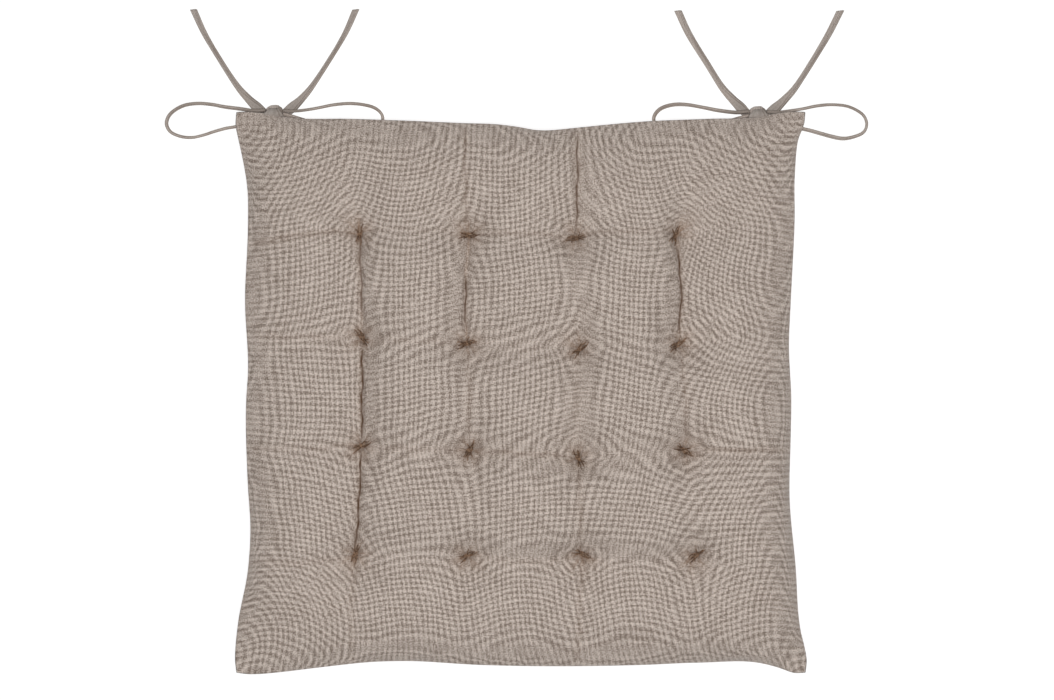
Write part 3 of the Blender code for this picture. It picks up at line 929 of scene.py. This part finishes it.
def weave_material():
    """A coarse plain weave whose threads bunch and thin where the cloth slopes."""
    n = Nodes("taupe_weave")
    flat = n.attribute("flat")
    parts = n.split(flat)
    where = n.split(n.add("ShaderNodeTexCoord").outputs["Object"])
    clear = n.split(n.attribute("clear"))
    bunch = 0.0
    for k, (along, across) in enumerate(((0, 1), (1, 0))):
        thread = parts[along], parts[across]
        drift = n.swing(n.stretched(*thread, DRIFT_SCALES, 3.1 * k), 1.0, 2.0, 1.0)
        beat = n.math("SUBTRACT", n.math("DIVIDE", where[along], WEAVE_BEAT),
                      n.math("DIVIDE", parts[along], THREAD_SPACING))
        line = n.math("COSINE", n.math("MULTIPLY", n.math("ADD", beat, drift), math.tau))
        line = n.math("MULTIPLY", line, clear[along])
        slub = n.swing(n.stretched(*thread, SLUB_SCALES, 7.7 * k), 1.0, 2.0, SLUB_STRENGTH)
        bunch = n.math("ADD", n.math("ADD", line, slub), bunch)
    tone = n.math("MULTIPLY_ADD", bunch, BUNCH_SHARE, MEAN_TONE)
    tone = n.math("ADD", n.swing(flat, SPECKLE_SCALE, 1.0, SPECKLE_STRENGTH), tone)
    tone = n.math("ADD", n.swing(flat, PATCH_SCALE, 3.0, PATCH_STRENGTH), tone)
    colour = n.mix(tone, DARK_THREADS, LIGHT_THREADS)
    # Painted shade round the tufts and beside the valley grooves
    shaded = n.math("MULTIPLY", n.attribute("tuft_shade", "Fac"), 0.80)
    colour = n.mix(shaded, colour, TUFT_PAINTED_SHADE)
    # Painted shade: a thin line along each valley's groove
    across = n.math("ABSOLUTE", n.attribute("groove_across", "Fac"))
    off_groove = n.ramp(across, GROOVE_HALF * 0.3, GROOVE_HALF * 1.5)
    groove = n.math("MULTIPLY", n.math("SUBTRACT", 1.0, off_groove),
                    n.attribute("groove_painted_shade", "Fac"))
    colour = n.mix(groove, colour, VALLEY_PAINTED_SHADE)
    n.put(n.shader.inputs["Sheen Weight"], 0.10)
    n.put(n.shader.inputs["Specular IOR Level"], 0.15)
    return n.cloth(colour, 0.92, n.plain_weave(parts), 0.30, BUMP_DEPTH)


# ---- tufts ----

def thread_material():
    n = Nodes("tuft_thread")
    place = n.add("ShaderNodeTexCoord").outputs["Object"]
    colour = n.mix(n.ramp(n.noise(place, 900.0, 3.0), 0.3, 0.7), THREAD_DARK, THREAD_LIGHT)
    ply = n.add("ShaderNodeTexWave", {"Vector": place, "Scale": 520.0, "Distortion": 1.5})
    return n.cloth(colour, 0.8, ply.outputs["Fac"], 0.5, 0.0001)


def thread_tube(path):
    """Points and faces of a round thread along the path, narrower at its two ends."""
    points = []
    last = len(path) - 1
    for k, point in enumerate(path):
        ahead = path[min(k + 1, last)] - path[max(k - 1, 0)]
        ring_turn = ahead.to_track_quat("Z", "Y")
        share = k / last
        full = math.sin(math.pi * share) ** 0.5
        size = THREAD_RADIUS * (THREAD_TAPER + (1 - THREAD_TAPER) * full)
        for s in range(THREAD_SIDES):
            angle = math.tau * s / THREAD_SIDES
            spoke = Vector((math.cos(angle), math.sin(angle), 0.0)) * size
            points.append(point + ring_turn @ spoke)
    return points, tube_faces(len(path), THREAD_SIDES)


def cloth_levels():
    """Finds the height of the cover's top and underside over a place in plan."""
    mesh = bpy.data.objects["cushion_cover"].data
    tree = BVHTree.FromPolygons(
        [vertex.co for vertex in mesh.vertices], [tuple(face.vertices) for face in mesh.polygons])

    def level(x, y, face):
        start = Vector((x, y, 0.2 if face > 0 else -0.2))
        hit = tree.ray_cast(start, Vector((0.0, 0.0, -face)))[0]
        return hit.z
    return level


def make_tufts():
    """Several turns of thick thread over each dimple, drawn tight along one slant."""
    thread = thread_material()
    level = cloth_levels()
    for (row, column), (_, _, x, y) in TUFTS.items():
        points, faces = [], []
        seed = 3.7 * row + 1.9 * column
        slant = math.radians(TUFT_SLANTS[row - 1][column - 1])
        for face in (1, -1):
            for k, (turn, half, offset, rise) in enumerate(TUFT_THREADS):
                way = slant + turn + 0.12 * math.sin(5 * seed + k)
                along = Vector((math.cos(way), math.sin(way), 0.0))
                across = Vector((-along.y, along.x, 0.0))
                path = []
                for s in range(-8, 9):
                    t = s / 8
                    fray = 0.0004 * k * t * abs(t)
                    swerve = offset + fray + 0.0005 * math.sin(4 * t + seed + 2 * k)
                    place = Vector((x, y, 0.0)) + along * half * t + across * swerve
                    place.z = level(place.x, place.y, face) + face * rise * (1.0 - 0.6 * t * t)
                    if face < 0:
                        place.z = max(place.z, THREAD_RADIUS + FLOOR_CLEARANCE)
                    path.append(place)
                tube, quads = thread_tube(path)
                faces += [[len(points) + corner for corner in quad] for quad in quads]
                points += tube
        tuft = make_piece(f"tuft_thread_r{row}_c{column}", points, faces, thread)
        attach(tuft, "root")
        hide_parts(f"tuft_stitch_r{row}_c{column}")


# ---- ties ----

def catmull_rom(before, start, end, after, t):
    """A point on the smooth curve between start and end."""
    return 0.5 * (
        2 * start + (end - before) * t
        + (2 * before - 5 * start + 4 * end - after) * t ** 2
        + (3 * (start - end) + after - before) * t ** 3
    )


def smooth_route(route):
    """Points about TAPE_STEP apart along the smooth curve through a route's own points."""
    fine = []
    pieces = 24
    padded = [2 * route[0] - route[1]] + route + [2 * route[-1] - route[-2]]
    for before, start, end, after in zip(padded, padded[1:], padded[2:], padded[3:]):
        fine += [catmull_rom(before, start, end, after, i / pieces) for i in range(pieces)]
    fine = np.array(fine + [route[-1]])
    travelled = np.concatenate([[0.0], np.cumsum(np.linalg.norm(np.diff(fine, axis=0), axis=1))])
    count = max(2, round(travelled[-1] / TAPE_STEP))
    stops = np.linspace(0.0, travelled[-1], count + 1)
    points = np.stack([np.interp(stops, travelled, fine[:, k]) for k in range(2)], -1)
    return points, stops


def tape_section():
    """Half widths and half thicknesses, as shares of the tape's own, round one cross-section.

    The tape is folded in two: round at the fold, open at the other edge, with a sewn line.
    """
    top = [(-1.00, 0.25), (-0.96, 0.62), (-0.86, 0.90), (-0.70, 1.00), (-0.20, 0.96), (0.40, 1.00),
           (0.56, 0.98), (0.62, 0.76), (0.68, 0.98), (0.88, 1.00), (0.98, 0.86), (1.00, 0.40)]
    slit = [(0.86, 0.0)]
    return top + slit + [(across, -out) for across, out in reversed(top)]


def tape_mesh(name, centres, widths, width_ways, thick_ways, material):
    """A folded tape along its centres, closed at both ends."""
    section = tape_section()
    points = []
    flat = []
    travelled = 0.0
    for k, centre in enumerate(centres):
        if k:
            travelled += float(np.linalg.norm(centre - centres[k - 1]))
        for across, out in section:
            points.append(centre + width_ways[k] * (across * widths[k] / 2)
                          + thick_ways[k] * (out * TAPE_THICKNESS / 2))
            flat.append((across * TAPE_WIDTH / 2, travelled, 0.001 * out))
    faces = tube_faces(len(centres), len(section), flip=True)
    tape = make_piece(name, points, faces, material)
    store(tape, "flat", flat)
    return tape


def lay_tape(name, knot, route, flat_at_knot, material):
    """One tape along its route: a loop stands on its edge, and a tail leaves the knot flat."""
    points, stops = smooth_route([np.array([knot.x + x, knot.y + y]) for x, y in route])
    ahead = directions(points)
    sideways = np.stack([ahead[:, 1], -ahead[:, 0], np.zeros(len(points))], -1)
    share = stops / stops[-1]
    sway = np.array([noise.noise(Vector((s * 38.0, knot.x * 90.0, knot.y * 9.0))) for s in stops])
    if flat_at_knot:
        lean = TAIL_LEAN + (math.pi / 2 - TAIL_LEAN) * bell(stops, FLAT_REACH)
        lean = lean + TAIL_END_LEAN * smooth_step(0.60, 1.0, share)
        lean = lean + TAIL_SWAY * sway * smooth_step(0.2, 0.4, share)
        widths = TAPE_WIDTH * (1.0 + KNOT_FLARE * bell(stops - FLARE_PLACE, FLARE_REACH))
        lift = np.zeros(len(points))
    else:
        lean = LOOP_LEAN + LOOP_SWAY * sway * np.sin(math.pi * share)
        widths = np.full(len(points), TAPE_WIDTH)
        from_knot = np.minimum(stops, stops[-1] - stops)
        lift = OVER_TAIL * bell(from_knot, OVER_TAIL_REACH)
    up = np.array([0.0, 0.0, 1.0])
    width_ways = sideways * np.sin(lean)[:, None] + up * np.cos(lean)[:, None]
    thick_ways = sideways * np.cos(lean)[:, None] - up * np.sin(lean)[:, None]
    rest = widths / 2 * np.abs(np.cos(lean)) + TAPE_THICKNESS / 2 * np.abs(np.sin(lean))
    centres = np.column_stack([points, TAPE_LIFT + rest + lift])
    tape = tape_mesh(name, centres, widths, width_ways, thick_ways, material)
    if flat_at_knot:
        cut_level(tape.data, centres, ahead)
    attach(tape, "root")
    return tape, centres


def cut_level(mesh, centres, ahead):
    """Shears a tail's last stretch, so that its end is cut along X."""
    count = len(tape_section())
    for back, part in enumerate(CUT_PARTS):
        k = len(centres) - 1 - back
        for vertex in list(mesh.vertices)[k * count:(k + 1) * count]:
            past = vertex.co.y - centres[k][1]
            slide = part * past / ahead[k][1]
            vertex.co.x -= slide * ahead[k][0]
            vertex.co.y -= slide * ahead[k][1]


def knot_mesh(name, low, high, material):
    """A wrapped knot: a strap round the middle, over the bunched tapes that come out of it."""
    centre = (low + high) / 2
    half = (high - low) / 2
    points = []
    flat = []
    for k in range(KNOT_RINGS):
        u = -1.0 + 2.0 * k / (KNOT_RINGS - 1)
        strap = float(smooth_step(*KNOT_STRAP, abs(u)))
        body = (1.0 - min(1.0, abs(u)) ** 3.2) ** 0.5
        for s in range(KNOT_SIDES):
            turn = math.tau * s / KNOT_SIDES
            pleats = 0.035 * math.sin(5 * turn + 3.0 * u + 1.0)
            pleats += 0.020 * math.sin(11 * turn - 2 * u)
            pleats *= 1.0 - 0.7 * strap
            edge = 0.030 * math.sin(3 * turn + 4 * u)
            size = body * (0.86 + 0.12 * strap + pleats + edge * strap)
            wrap = 0.55 * strap * math.sin(turn)
            points.append((
                centre.x + half.x * (u + 0.04 * wrap),
                centre.y + half.y * size * math.cos(turn),
                max(TAPE_LIFT, centre.z + half.z * size * math.sin(turn)),
            ))
            flat.append((half.x * u, KNOT_CLOTH + half.y * turn, 0.0))
    knot = make_piece(name, points, tube_faces(KNOT_RINGS, KNOT_SIDES), material)
    store(knot, "flat", flat)
    return knot


def make_anchor(side, knot, material):
    """The folded middle of the tape, from the seam down into the knot."""
    low, high = (Vector(corner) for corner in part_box(f"tie_anchor_{side}"))
    route = np.array([
        (knot.x, low.y - 0.0010, high.z - 0.0012), (knot.x, low.y + 0.0012, high.z - 0.0008),
        (knot.x, (low.y + high.y) / 2 + 0.0004, high.z - 0.0014),
        (knot.x, high.y - 0.0008, (low.z + high.z) / 2), (knot.x, high.y - 0.0010, low.z),
    ])
    width_ways = np.tile([1.0, 0.0, 0.0], (len(route), 1))
    thick_ways = np.cross(directions(route), width_ways)
    widths = TAPE_WIDTH * np.array(FOLD_WIDTHS)
    anchor = tape_mesh(f"bow_fold_{side}", route, widths, width_ways, thick_ways, material)
    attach(anchor, "root")
    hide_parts(f"tie_anchor_{side}")
    return anchor


def make_bow(side, strands, material):
    low, high = (Vector(corner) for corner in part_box(f"bow_knot_{side}"))
    knot = (low + high) / 2
    wrap = knot_mesh(f"bow_wrap_{side}", low, high, material)
    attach(wrap, "root")
    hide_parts(f"bow_knot_{side}")
    anchor = make_anchor(side, knot, material)
    reach = (high.x - low.x) / 2 + 0.0003
    for place, loop, tail, way in strands:
        start = (way * reach, 0.0)
        back = (way * reach, -STRAND_PITCH)
        tail_start = (way * TAIL_START[0], TAIL_START[1])
        route = (start, *loop, back)
        looped, line = lay_tape(f"loop_{side}_{place}", knot, route, False, material)
        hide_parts(f"bow_loop_{side}_{place}")
        route = (tail_start, *tail)
        ended, line = lay_tape(f"tail_{side}_{place}", knot, route, True, material)
        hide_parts(f"bow_tail_{side}_{place}")


def tape_material():
    """The cover's cloth folded into a narrow tape, with painted shade by its knot and along its
    hem.
    """
    n = Nodes("taupe_tape")
    flat = n.attribute("flat")
    parts = n.split(flat)
    streak = n.swing(n.stretched(parts[0], parts[1], STREAK_SCALES), 1.0, 2.0, STREAK_STRENGTH)
    tone = n.math("ADD", streak, n.math("ADD", n.noise(flat, 1100.0, 2.0), -0.05))
    colour = n.mix(n.ramp(tone, 0.0, 1.0), TAPE_DARK, TAPE_LIGHT)
    # Painted shade near the knot, fading within a few centimetres along the tape
    from_knot = n.ramp(parts[1], 0.0090, 0.0260)
    colour = n.mix(n.math("MULTIPLY_ADD", from_knot, -0.55, 0.55), colour, TAPE_SHADE)
    # Painted shade along the sewn line and the open edge of the tape
    side = n.math("DIVIDE", parts[0], TAPE_WIDTH / 2)
    off_hem = n.math("ABSOLUTE", n.math("SUBTRACT", side, HEM_PLACE))
    sewn = n.math("SUBTRACT", 1.0, n.ramp(off_hem, 0.04, 0.14))
    brim = n.ramp(side, 0.86, 1.0)
    colour = n.mix(n.math("MULTIPLY", n.math("MAXIMUM", sewn, brim), 0.55), colour, HEM_PAINTED_SHADE)
    n.put(n.shader.inputs["Specular IOR Level"], 0.15)
    return n.cloth(colour, 0.9, n.plain_weave(parts), 0.35, BUMP_DEPTH)


def make_ties():
    material = tape_material()
    make_bow("left", (
        ("outer", LEFT_OUTER_LOOP, LEFT_OUTER_TAIL, -1),
        ("inner", LEFT_INNER_LOOP, LEFT_INNER_TAIL, 1),
    ), material)
    make_bow("right", (
        ("inner", RIGHT_INNER_LOOP, RIGHT_INNER_TAIL, -1),
        ("outer", RIGHT_OUTER_LOOP, RIGHT_OUTER_TAIL, 1),
    ), material)


# ---- run ----

make_camera()
make_stage()
make_ties()
make_cover()
make_tufts()
